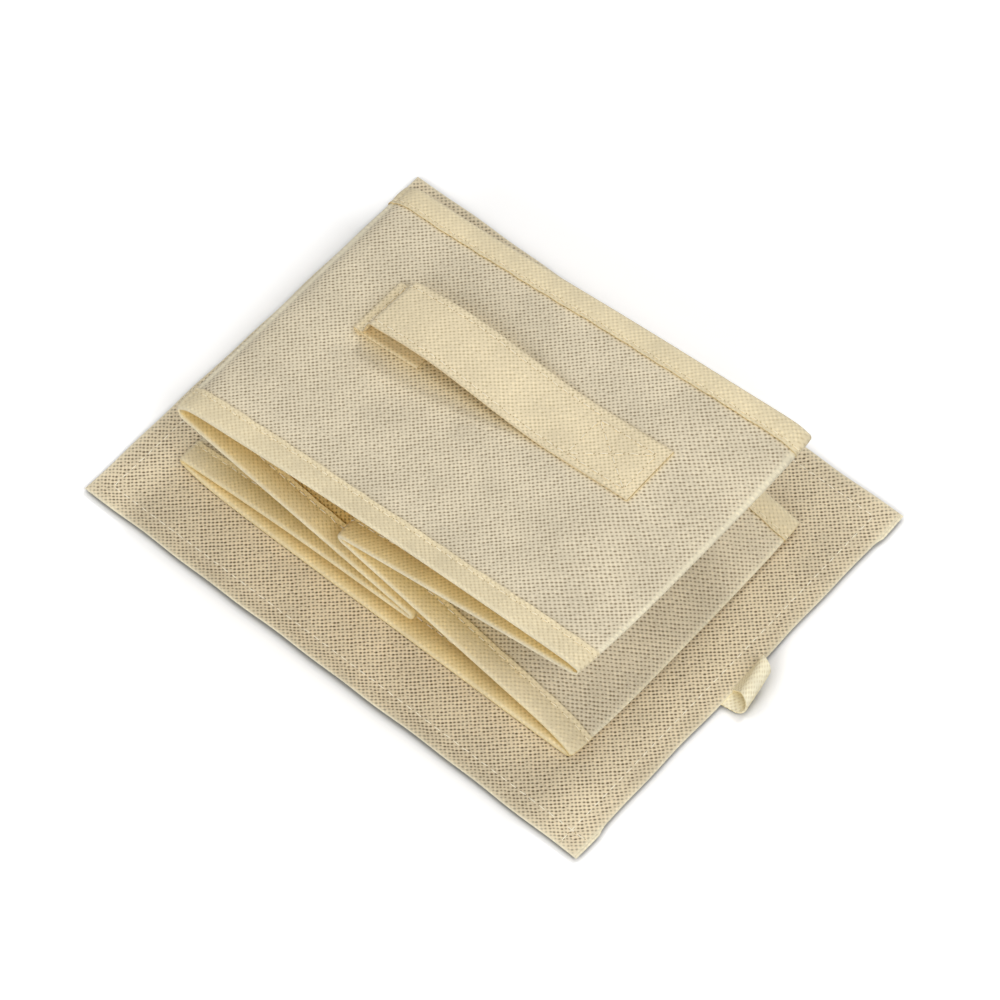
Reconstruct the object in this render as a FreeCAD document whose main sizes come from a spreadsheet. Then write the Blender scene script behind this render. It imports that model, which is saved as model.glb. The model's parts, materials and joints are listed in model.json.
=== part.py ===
"""A fabric storage bin, folded flat, on its loose base board.

The frame's origin is the centre of the board's underside. +X runs along the board's long side, towards
its pull loop, +Y from the sleeve's near rim to its far rim, and +Z is up. Every fold is parallel to Y.
"""

import FreeCAD, Part
import Sketcher
import math
import os

doc = FreeCAD.newDocument("folded_bin")

# Driving dimensions, in millimetres and degrees

SIZES = {
    # Loose base board
    "base_length": 270,
    "base_width": 214,
    "base_corner_radius": 1.5,
    "base_board_thickness": 2,
    "hem_width": 11,
    "hem_clearance": 0.3,
    "hem_end_length": 18,
    "hem_end_reach": 1.2,
    # Pull loop on the board's right edge
    "loop_width": 27,
    "loop_strip_thickness": 0.8,
    "loop_radius": 3.4,
    "loop_lean": 50,
    "loop_half_opening": 42,
    "loop_tail": 1,
    "loop_seam_gap": 0.4,
    # Walls of the sleeve
    "front_width": 212,
    "half_side_length": 126,
    "wall_height": 146,
    "cloth_thickness": 0.5,
    "wall_board_thickness": 1,
    "board_fold_margin": 3,
    "board_rim_margin": 2,
    "tape_thickness": 0.4,
    "tape_width": 11.4,
    # Folds between the walls: the bend inside the innermost tape, and the gap from a fold to its wall
    "fold_inner_radius": 0.2,
    "fold_gap": 0.3,
    # How the sleeve lies on the base board: its middle's place, its gaps and the slopes of its left side
    "sleeve_shift_x": -3.8,
    "sleeve_shift_y": 0.6,
    "sleeve_gap": 0.3,
    "left_lower_angle": 4,
    "left_upper_angle": 10.6,
    "right_nose_gap": 8.4,
    # Handle strap on the front wall, measured from the front wall's folds
    "strap_width": 30,
    "strap_thickness": 1.2,
    "strap_left": 29,
    "strap_patch_length": 35,
    "strap_lift_start": 38,
    "strap_crest": 78,
    "strap_crest_height": 8.5,
    "strap_right_margin": 34.5,
    "strap_sewn_length": 37.5,
    "strap_near": 76.6,
    "strap_ply_gap": 0.3,
}

sheet = doc.addObject("Spreadsheet::Sheet", "Sizes")


def write_size(row, name, value):
    """Give the sheet one named cell, with its name beside it."""
    sheet.set(f"A{row}", name)
    sheet.set(f"B{row}", str(value))
    sheet.setAlias(f"B{row}", name)


for row, (name, value) in enumerate(SIZES.items(), start=1):
    write_size(row, name, value)
doc.recompute()


def size(name):
    """The sheet's value for a name, as a plain number."""
    return float(getattr(sheet, name))


# The closed chain of folds, seen along Y as points (x, z)

wall_half = size("wall_board_thickness") / 2 + size("cloth_thickness")
rim_half = wall_half + size("tape_thickness")
base_top = size("base_board_thickness") + 2 * size("cloth_thickness")
fold_radius = rim_half + size("fold_inner_radius")
front_width = size("front_width")
half_side = size("half_side_length")
sleeve_left = size("sleeve_shift_x") - front_width / 2
sleeve_near = size("sleeve_shift_y") - size("wall_height") / 2


def turned(x, z, degrees):
    """A vector of the XZ plane, turned from +X towards +Z."""
    angle = math.radians(degrees)
    return FreeCAD.Vector(
        x * math.cos(angle) - z * math.sin(angle), 0, x * math.sin(angle) + z * math.cos(angle)
    )


def angle_of(vector):
    return math.degrees(math.atan2(vector.z, vector.x))


left_lower = size("left_lower_angle")
left_upper = size("left_upper_angle")
back_left_axis = FreeCAD.Vector(sleeve_left, 0, base_top + size("sleeve_gap") + rim_half + fold_radius)
back_right_axis = back_left_axis + FreeCAD.Vector(front_width, 0, 0)
left_axis = back_left_axis + turned(half_side, 2 * fold_radius, left_lower)
front_left_axis = left_axis + turned(-half_side, 2 * fold_radius, -left_upper)

# The right side's nose lies over the left side's upper half, clear of it by its gap: that sets its lower half's slope.
half_swing = math.hypot(half_side, 2 * fold_radius)
half_phase = angle_of(FreeCAD.Vector(half_side, 0, 2 * fold_radius))
left_upper_normal = turned(0, 1, -left_upper)
nose_rise = size("right_nose_gap") + 2 * rim_half
rise_at_right = left_upper_normal.dot(back_right_axis - front_left_axis)
nose_turn = math.degrees(math.asin((nose_rise - rise_at_right) / half_swing)) - half_phase
right_lower = left_upper + nose_turn
right_axis = back_right_axis + turned(-half_side, 2 * fold_radius, -right_lower)

# The front wall's right fold is where its swing about the front left axis meets the right upper half's swing.
between = right_axis - front_left_axis
along = (front_width**2 - half_swing**2 + between.Length**2) / (2 * between.Length)
aside = math.sqrt(front_width**2 - along**2)
across = FreeCAD.Vector(-between.z, 0, between.x)
front_right_axis = front_left_axis + (between * along + across * aside) / between.Length
front_tilt = angle_of(front_right_axis - front_left_axis)
right_upper = angle_of(front_right_axis - right_axis) - half_phase

FITTED = {
    "fold_radius": fold_radius,
    "right_lower_angle": right_lower,
    "right_upper_angle": right_upper,
    "front_tilt": front_tilt,
}
for row, (name, value) in enumerate(FITTED.items(), start=len(SIZES) + 1):
    write_size(row, name, value)
doc.recompute()

NODES = []


def node(shape_object, label):
    """Name a finished sub-part and keep it for the export."""
    shape_object.Label = label
    NODES.append(shape_object)
    return shape_object


def bind(target, **expressions):
    """Bind properties of an object to the sheet, writing [name] for a cell."""
    for prop, expression in expressions.items():
        target.setExpression(prop, expression.replace("[", "Sizes.").replace("]", ""))


def primitive(kind, name, placement, **expressions):
    shape_object = doc.addObject(kind, name)
    bind(shape_object, **expressions)
    shape_object.Placement = placement
    return shape_object


def cut(name, base, tool):
    shape_object = doc.addObject("Part::Cut", name)
    shape_object.Base = base
    shape_object.Tool = tool
    return shape_object


def group(name, *members):
    shape_object = doc.addObject("Part::Compound", name)
    shape_object.Links = list(members)
    return shape_object


# Loose base board


def plane_of(body, role):
    return next(feature for feature in body.Origin.OriginFeatures if feature.Role == role)


def add_rectangle(sketch, name, length, width, centre=("0", "0")):
    """A rectangle held by its two sizes and its centre, each bound to the sheet."""
    corners = [FreeCAD.Vector(x, y, 0) for x, y in ((-1, -1), (1, -1), (1, 1), (-1, 1))]
    sides = [
        sketch.addGeometry(Part.LineSegment(corners[i], corners[(i + 1) % len(corners)]), False)
        for i in range(len(corners))
    ]
    for i, side in enumerate(sides):
        sketch.addConstraint(Sketcher.Constraint("Coincident", side, 2, sides[(i + 1) % len(sides)], 1))
        sketch.addConstraint(Sketcher.Constraint("Horizontal" if i % 2 == 0 else "Vertical", side))
    middle = sketch.addGeometry(Part.Point(FreeCAD.Vector(0, 0, 0)), True)
    sketch.addConstraint(Sketcher.Constraint("Symmetric", sides[0], 1, sides[2], 1, middle, 1))
    for label, constraint, expression in (
        ("length", Sketcher.Constraint("DistanceX", sides[0], 1, sides[0], 2, 2.0), length),
        ("width", Sketcher.Constraint("DistanceY", sides[1], 1, sides[1], 2, 2.0), width),
        ("x", Sketcher.Constraint("DistanceX", -1, 1, middle, 1, 0.0), centre[0]),
        ("y", Sketcher.Constraint("DistanceY", -1, 1, middle, 1, 0.0), centre[1]),
    ):
        index = sketch.addConstraint(constraint)
        sketch.renameConstraint(index, f"{name}_{label}")
        bind(sketch, **{f"Constraints.{name}_{label}": expression})


def base_layer(label, length, width, thickness, bottom, hole=None, corner=True):
    """A flat layer of the base board: a padded rectangle, open in the middle where hole gives two sizes."""
    body = doc.addObject("PartDesign::Body", label)
    sketch = body.newObject("Sketcher::SketchObject", label + "_outline")
    sketch.AttachmentSupport = [(plane_of(body, "XY_Plane"), "")]
    sketch.MapMode = "FlatFace"
    bind(sketch, **{"AttachmentOffset.Base.z": bottom})
    add_rectangle(sketch, "outline", length, width)
    if hole:
        add_rectangle(sketch, "hole", *hole)
    pad = body.newObject("PartDesign::Pad", label + "_pad")
    pad.Profile = sketch
    bind(pad, Length=thickness)
    doc.recompute()
    if corner:
        reach = max(vertex.X for vertex in pad.Shape.Vertexes)
        upright = [
            f"Edge{number}"
            for number, edge in enumerate(pad.Shape.Edges, start=1)
            if edge.BoundBox.ZLength > edge.BoundBox.XLength + edge.BoundBox.YLength
            and abs(edge.Vertexes[0].X) > reach - size("hem_clearance")
        ]
        fillet = body.newObject("PartDesign::Fillet", label + "_corners")
        fillet.Base = (pad, upright)
        bind(fillet, Radius="[base_corner_radius]")
    return body


def add_hem_ends(body):
    """Two short ends of the lower cover's hem that show past the right edge, one at each corner."""
    for name, sign in (("near", "-"), ("far", "")):
        sketch = body.newObject("Sketcher::SketchObject", f"hem_end_{name}")
        sketch.AttachmentSupport = [(plane_of(body, "XY_Plane"), "")]
        sketch.MapMode = "FlatFace"
        add_rectangle(
            sketch,
            "tab",
            "2 * [hem_end_reach]",
            "[hem_end_length]",
            (
                "[base_length] / 2",
                f"{sign}([base_width] / 2 - [base_corner_radius] - [hem_end_length] / 2)",
            ),
        )
        pad = body.newObject("PartDesign::Pad", f"hem_end_{name}_pad")
        pad.Profile = sketch
        bind(pad, Length="[cloth_thickness]")


lower_cover = base_layer("base_lower_cover", "[base_length]", "[base_width]", "[cloth_thickness]", "0")
add_hem_ends(lower_cover)
node(lower_cover, "base_lower_cover")
node(
    base_layer(
        "base_board",
        "[base_length] - 2 * [hem_width] - 2 * [hem_clearance]",
        "[base_width] - 2 * [hem_width] - 2 * [hem_clearance]",
        "[base_board_thickness]",
        "[cloth_thickness]",
    ),
    "base_board",
)
node(
    base_layer(
        "base_hem",
        "[base_length]",
        "[base_width]",
        "[base_board_thickness]",
        "[cloth_thickness]",
        hole=("[base_length] - 2 * [hem_width]", "[base_width] - 2 * [hem_width]"),
    ),
    "base_hem",
)
node(
    base_layer(
        "base_upper_cover",
        "[base_length]",
        "[base_width]",
        "[cloth_thickness]",
        "[cloth_thickness] + [base_board_thickness]",
    ),
    "base_upper_cover",
)

# Pull loop: a strip that leaves the seam as a short tail and opens into a teardrop


def teardrop(root, radius, lean, half_opening):
    """A face bounded by an arc and its two tangents from the root point, leaning up from +X."""
    reach = radius / math.sin(math.radians(half_opening))
    centre = root + turned(reach, 0, lean)
    touch = 90 + half_opening
    low, tip, high = (centre + turned(radius, 0, lean + turn) for turn in (-touch, 0, touch))
    edges = [Part.LineSegment(root, low), Part.Arc(low, tip, high), Part.LineSegment(high, root)]
    return Part.Face(Part.Wire([edge.toShape() for edge in edges]))


strip = size("loop_strip_thickness")
loop_width = size("loop_width")
seam = FreeCAD.Vector(size("base_length") / 2 + size("loop_seam_gap"), -loop_width / 2, base_top / 2)
loop_root = seam + FreeCAD.Vector(size("loop_tail"), 0, 0)
loop_lean = size("loop_lean")
loop_opening = size("loop_half_opening")
inner_shift = strip / math.sin(math.radians(loop_opening))
outer_face = teardrop(loop_root, size("loop_radius") + strip / 2, loop_lean, loop_opening)
inner_face = teardrop(
    loop_root + turned(inner_shift, 0, loop_lean), size("loop_radius") - strip / 2, loop_lean, loop_opening
)
along_loop = FreeCAD.Vector(0, loop_width, 0)
tail = Part.makeBox(size("loop_tail") + strip, loop_width, strip, seam - FreeCAD.Vector(0, 0, strip / 2))
loop = doc.addObject("Part::Feature", "base_pull_loop")
loop.Shape = outer_face.extrude(along_loop).fuse(tail).cut(inner_face.extrude(along_loop)).removeSplitter()
node(loop, "base_pull_loop")

# Walls: six flat panels, each with its left fold axis, the side of it that it lies on, its slope and its outer side


def panel_place(axis, side, slope):
    """The panel's own frame: its left end at mid-thickness on the near rim, +X along it, +Z its upper side."""
    turn = FreeCAD.Rotation(FreeCAD.Vector(0, -1, 0), slope)
    start = axis + turned(0, side * fold_radius, slope)
    return FreeCAD.Placement(start + FreeCAD.Vector(0, sleeve_near, 0), turn)


def moved(place, x, y, z):
    return place.multiply(FreeCAD.Placement(FreeCAD.Vector(x, y, z), FreeCAD.Rotation()))


ABOVE, BELOW = 1, -1
PANELS = {
    "back": (back_left_axis, BELOW, 0, "[front_width]", BELOW),
    "left_lower": (back_left_axis, ABOVE, left_lower, "[half_side_length]", ABOVE),
    "left_upper": (front_left_axis, BELOW, -left_upper, "[half_side_length]", BELOW),
    "front": (front_left_axis, ABOVE, front_tilt, "[front_width]", ABOVE),
    "right_lower": (right_axis, BELOW, -right_lower, "[half_side_length]", ABOVE),
    "right_upper": (right_axis, ABOVE, right_upper, "[half_side_length]", BELOW),
}
gap = size("fold_gap")
cloth = size("cloth_thickness")
board = size("wall_board_thickness")
tape = size("tape_thickness")
tape_width = size("tape_width")
wall_height = size("wall_height")
cloth_length = "{} - 2 * [fold_gap]"
cloth_height = "[wall_height] - 2 * [tape_thickness]"


def cloth_sheet(label, place, length, outside):
    """A cover or lining: it ends at the folds and inside the tapes."""
    bottom = board / 2 if outside == ABOVE else -board / 2 - cloth
    return node(
        primitive(
            "Part::Box",
            label,
            moved(place, gap, tape, bottom),
            Length=cloth_length.format(length),
            Width=cloth_height,
            Height="[cloth_thickness]",
        ),
        label,
    )


def rim_tape(name, place, length, near):
    """Binding tape folded over a rim: a channel whose web lies outside the rim and whose legs lie on both faces."""
    start = 0 if near else wall_height - tape_width
    inside = tape if near else wall_height - tape_width
    run = cloth_length.format(length)
    outer = primitive(
        "Part::Box",
        name + "_outside",
        moved(place, gap, start, -rim_half),
        Length=run,
        Width="[tape_width]",
        Height="[wall_board_thickness] + 2 * [cloth_thickness] + 2 * [tape_thickness]",
    )
    inner = primitive(
        "Part::Box",
        name + "_inside",
        moved(place, gap, inside, -wall_half),
        Length=run,
        Width="[tape_width] - [tape_thickness]",
        Height="[wall_board_thickness] + 2 * [cloth_thickness]",
    )
    return cut(name, outer, inner)


for name, (axis, side, slope, length, outside) in PANELS.items():
    place = panel_place(axis, side, slope)
    cloth_sheet(name + "_cover", place, length, outside)
    node(
        primitive(
            "Part::Box",
            name + "_board",
            moved(place, size("board_fold_margin"), size("board_rim_margin"), -board / 2),
            Length=f"{length} - 2 * [board_fold_margin]",
            Width="[wall_height] - 2 * [board_rim_margin]",
            Height="[wall_board_thickness]",
        ),
        name + "_board",
    )
    cloth_sheet(name + "_lining", place, length, -outside)
    tapes = [rim_tape(f"{name}_{rim}_tape", place, length, rim == "near") for rim in ("near", "far")]
    node(group(name + "_rim_tapes", *tapes), name + "_rim_tapes")

# Folds: part rings about each axis, from the wall below it to the wall above it

FOLDS = {
    "back_left": (back_left_axis, 90 + left_lower, "180 - [left_lower_angle]"),
    "left": (left_axis, left_lower - 90, "180 - [left_lower_angle] - [left_upper_angle]"),
    "front_left": (front_left_axis, 90 + front_tilt, "180 - [front_tilt] - [left_upper_angle]"),
    "front_right": (front_right_axis, right_upper - 90, "180 + [front_tilt] - [right_upper_angle]"),
    "right": (right_axis, 90 + right_upper, "180 - [right_upper_angle] - [right_lower_angle]"),
    "back_right": (back_right_axis, -90, "180 - [right_lower_angle]"),
}


def ring(name, axis, start, sweep, inner, outer, low, length):
    """A part ring about an axis along Y, from the angle start, measured from +X towards +Z."""
    # The cylinder's own axis is turned to -Y, so that its angle grows from +X towards +Z, and it starts at its far end.
    turn = FreeCAD.Rotation(FreeCAD.Vector(0, -1, 0), start).multiply(
        FreeCAD.Rotation(FreeCAD.Vector(1, 0, 0), 90)
    )
    far = sleeve_near + low + length[0]
    place = FreeCAD.Placement(axis + FreeCAD.Vector(0, far, 0), turn)
    solids = [
        primitive("Part::Cylinder", f"{name}_{part}", place, Radius=radius, Height=length[1], Angle=sweep)
        for part, radius in (("outside", outer), ("inside", inner))
    ]
    return cut(name, *solids)


inner_cloth = "[fold_radius] - [wall_board_thickness] / 2"
outer_cloth = "[fold_radius] + [wall_board_thickness] / 2"
tape_run = (tape_width, "[tape_width]")
channel_run = (tape_width - tape, "[tape_width] - [tape_thickness]")
cloth_run = (wall_height - 2 * tape, cloth_height)
for name, (axis, start, sweep) in FOLDS.items():
    shells = [
        ring(f"{name}_{ply}", axis, start, sweep, inner, outer, tape, cloth_run)
        for ply, inner, outer in (
            ("inner_ply", inner_cloth + " - [cloth_thickness]", inner_cloth),
            ("outer_ply", outer_cloth, outer_cloth + " + [cloth_thickness]"),
        )
    ]
    node(group(name + "_fold_cloth", *shells), name + "_fold_cloth")
    tapes = []
    for rim, low, channel_low in (
        ("near", 0, tape),
        ("far", wall_height - tape_width, wall_height - tape_width),
    ):
        solid = ring(
            f"{name}_{rim}_bend",
            axis,
            start,
            sweep,
            inner_cloth + " - [cloth_thickness] - [tape_thickness]",
            outer_cloth + " + [cloth_thickness] + [tape_thickness]",
            low,
            tape_run,
        )
        channel = ring(
            f"{name}_{rim}_channel",
            axis,
            start,
            sweep,
            inner_cloth + " - [cloth_thickness]",
            outer_cloth + " + [cloth_thickness]",
            channel_low,
            channel_run,
        )
        tapes.append(cut(f"{name}_{rim}_fold_tape", solid, channel))
    node(group(name + "_fold_tapes", *tapes), name + "_fold_tapes")

# Handle strap: one strip whose left end is folded under as the sewn patch, then a low arch to the sewn right end


def s_bend(start, end):
    """Two equal arcs, level at both ends, between two points of the panel's own XZ plane."""
    run, rise = end[0] - start[0], end[1] - start[1]
    turn = 2 * math.atan2(rise, run)
    radius = run / (2 * math.sin(turn))
    middle = ((start[0] + end[0]) / 2, (start[1] + end[1]) / 2)
    sag = radius * (1 - math.cos(turn / 2))
    reach = radius * math.sin(turn / 2)
    first = (start[0] + reach, start[1] + sag)
    second = (end[0] - reach, end[1] - sag)
    return [("arc", start, first, middle), ("arc", middle, second, end)]


thick = size("strap_thickness")
ply = thick + size("strap_ply_gap")
left = size("strap_left") + thick / 2 + ply / 2
patch_end = (size("strap_left") + size("strap_patch_length"), thick / 2)
turn_low = (left, thick / 2)
turn_mid = (left - ply / 2, thick / 2 + ply / 2)
turn_high = (left, thick / 2 + ply)
lift_start = (size("strap_lift_start"), thick / 2 + ply)
crest = (size("strap_crest"), size("strap_crest_height"))
strap_right = (front_width - size("strap_right_margin"), thick / 2)
landing = (strap_right[0] - size("strap_sewn_length"), thick / 2)
strap_route = [
    ("line", patch_end, turn_low),
    ("arc", turn_low, turn_mid, turn_high),
    ("line", turn_high, lift_start),
    *s_bend(lift_start, crest),
    *s_bend(crest, landing),
    ("line", landing, strap_right),
]


def route_edge(kind, *points):
    corners = [FreeCAD.Vector(x, 0, z) for x, z in points]
    curve = Part.LineSegment(*corners) if kind == "line" else Part.Arc(*corners)
    return curve.toShape()


strap_width = size("strap_width")
strap_path = Part.Wire([route_edge(*piece) for piece in strap_route])
section_corners = [
    FreeCAD.Vector(patch_end[0], y, z)
    for y, z in ((0, 0), (strap_width, 0), (strap_width, thick), (0, thick), (0, 0))
]
strap_section = Part.makePolygon(section_corners)
strap = doc.addObject("Part::Feature", "handle_strap")
strap.Shape = strap_path.makePipeShell([strap_section], True, False)
front_place = panel_place(*PANELS["front"][:3])
strap.Placement = moved(front_place, 0, size("strap_near"), wall_half)
node(strap, "handle_strap")

# Check every object and write the sub-parts

doc.recompute()
for item in doc.Objects:
    if "Invalid" in item.State or "Error" in item.State:
        raise RuntimeError(f"{item.Label} failed: {item.State}")
os.makedirs("parts", exist_ok=True)
for item in NODES:
    if item.Shape.isNull() or not item.Shape.isValid():
        raise RuntimeError(f"{item.Label} has no valid shape")
for item in NODES:
    item.Shape.exportStep(f"parts/{item.Label}.step")
print(len(NODES), "sub-parts written")
for name, value in FITTED.items():
    print(name, round(value, 5))
for name, axis in (
    ("back left", back_left_axis),
    ("left", left_axis),
    ("front left", front_left_axis),
    ("back right", back_right_axis),
    ("right", right_axis),
    ("front right", front_right_axis),
):
    print(name, "fold axis x", round(axis.x, 4), "z", round(axis.z, 4))
print("loop seam x", round(seam.x, 4), "z", round(seam.z, 4))
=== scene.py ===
"""A beige non-woven storage bin, folded flat and lying on its own loose base board.

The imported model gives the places: the fold axes come from the joints, and rims and edges from the boxes of
the nodes. Everything is in metres, so sizes are written as millimetres times MM.
"""

import json
import math

import bpy
import numpy as np
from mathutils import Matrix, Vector


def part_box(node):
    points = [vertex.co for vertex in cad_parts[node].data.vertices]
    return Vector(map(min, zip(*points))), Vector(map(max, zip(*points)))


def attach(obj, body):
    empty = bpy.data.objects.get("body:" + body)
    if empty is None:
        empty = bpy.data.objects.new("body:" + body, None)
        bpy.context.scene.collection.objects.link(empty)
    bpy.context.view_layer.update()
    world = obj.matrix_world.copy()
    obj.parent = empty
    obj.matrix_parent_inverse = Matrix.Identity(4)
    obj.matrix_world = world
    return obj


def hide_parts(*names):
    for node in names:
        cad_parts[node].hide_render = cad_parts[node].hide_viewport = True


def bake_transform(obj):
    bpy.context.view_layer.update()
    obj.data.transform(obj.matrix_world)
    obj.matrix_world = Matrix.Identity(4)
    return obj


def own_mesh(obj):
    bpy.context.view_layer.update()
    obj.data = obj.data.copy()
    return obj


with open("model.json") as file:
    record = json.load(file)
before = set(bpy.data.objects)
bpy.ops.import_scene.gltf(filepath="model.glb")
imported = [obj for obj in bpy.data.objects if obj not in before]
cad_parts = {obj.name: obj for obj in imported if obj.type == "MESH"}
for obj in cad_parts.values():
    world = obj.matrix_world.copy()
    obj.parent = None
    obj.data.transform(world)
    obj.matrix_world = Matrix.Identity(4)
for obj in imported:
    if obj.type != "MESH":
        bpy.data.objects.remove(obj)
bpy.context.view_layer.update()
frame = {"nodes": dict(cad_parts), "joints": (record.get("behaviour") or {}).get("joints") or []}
scene = bpy.context.scene
MM = 0.001

# Camera
# A long lens stands beyond the bin's near right corner and looks down on the front wall.
# The picture is square, so the focal length is given in picture widths.
sensor_width = 36
focal_widths = 4.788
view_azimuth = 40.56
view_elevation = 57.68
view_distance = 2020 * MM
view_target = Vector((0.8 * MM, 3.8 * MM, 0))


def aim(thing, azimuth, elevation, distance, target):
    """Put a camera or a lamp at a distance from its target, and turn it to look at that.

    The azimuth counts from the near side round to the right, and both angles are in degrees.
    """
    azimuth = math.radians(azimuth)
    elevation = math.radians(elevation)
    level = math.cos(elevation)
    back = Vector((math.sin(azimuth) * level, -math.cos(azimuth) * level, math.sin(elevation)))
    thing.location = target + distance * back
    thing.rotation_euler = back.to_track_quat("Z", "Y").to_euler()
    scene.collection.objects.link(thing)


camera = bpy.data.objects.new("camera", bpy.data.cameras.new("camera"))
camera.data.sensor_width = sensor_width
camera.data.lens = sensor_width * focal_widths
aim(camera, view_azimuth, view_elevation, view_distance, view_target)
scene.camera = camera

# Base board covers
# Two non-woven polypropylene sheets hold a stiff board between them. They are sewn together round it, and
# their margins are turned in, so each sheet rolls over the edge and meets the other halfway down.
sharp_angle = math.radians(42)
# The lattice of bonding pits. Inside a cell, sizes are shares of the pitch.
lattice_turn = math.radians(46)
lattice_pitch = 1.68 * MM
lattice_wander = 0.55 * MM
wander_scale = 160
pit_first = 0.4
pit_play = 0.2
pit_stretch = (1.18, 0.85)
pit_size_play = 0.1
pit_core = 0.3
pit_shallowest = 0.68
# The fibres between the pits: a fine noise, a slow smudge, and crowns with an edge and a top. The crowns
# are raised in the relief, and painted lighter in the mottle as a highlight
fibre_scale = 2600
fibre_height = 0.35
fibre_shade = 0.5
smudge_scale = 45
crown_edge = 0.46
crown_top = 0.1
crown_height = 0.5
crown_highlight = 0.42
# How the pattern shows: its range and the tints that it gives, and how rough the cloth and its pits are
mottle_and_highlight_range = (0.5, 1.3)
mottle_and_highlight_tints = (0.87, 1.2)
cloth_roughness = (0.86, 0.62)
# Pale cloth at edges and folds, where the pits are gone past a share of the mark: wear and a painted
# highlight. Cloth hidden in the gaps between layers is painted amber: painted shade
worn_cloth = (0.88, 0.81, 0.60)
pits_gone = 0.6
gap_reach = 45 * MM
gap_open = 0.9
gap_shut = 0.35
gap_shade_tint = (1.12, 1.0, 0.62)


def set_inputs(tree, node, inputs):
    """Give each input of a node a value, or a link from another node's socket."""
    for key, value in inputs.items():
        if isinstance(value, bpy.types.NodeSocket):
            tree.links.new(value, node.inputs[key])
        else:
            node.inputs[key].default_value = value


def add_node(tree, kind, inputs, **settings):
    """Add a shader node, set its properties, and then set its inputs."""
    node = tree.nodes.new(f"ShaderNode{kind}")
    for key, value in settings.items():
        setattr(node, key, value)
    set_inputs(tree, node, inputs)
    return node


def add_math(tree, operation, *values):
    """What an operation on numbers gives."""
    return add_node(tree, "Math", dict(enumerate(values)), operation=operation).outputs[0]


def add_vector(tree, operation, *values):
    """What an operation on places or colours gives, which is a number where it asks for a length."""
    node = add_node(tree, "VectorMath", dict(enumerate(values)), operation=operation)
    return node.outputs["Value" if operation == "LENGTH" else "Vector"]


def add_range(tree, value, before, after, **settings):
    """A value carried straight from one range, its start and its end, to another, and kept inside it."""
    inputs = {"Value": value, "From Min": before[0], "From Max": before[1]}
    inputs |= {"To Min": after[0], "To Max": after[1]}
    return add_node(tree, "MapRange", inputs, **settings).outputs[0]


def add_mix(tree, share, first, second):
    """The first colour where the share is 0, the second where it is 1, and a mix of both between."""
    inputs = {"Factor": share, "A": first, "B": second}
    return add_node(tree, "Mix", inputs, data_type="RGBA").outputs["Result"]


def new_finish(name):
    """A new material, the tree of its nodes, and its shader."""
    material = bpy.data.materials.new(name)
    material.use_nodes = True
    return material, material.node_tree, material.node_tree.nodes["Principled BSDF"]


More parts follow.
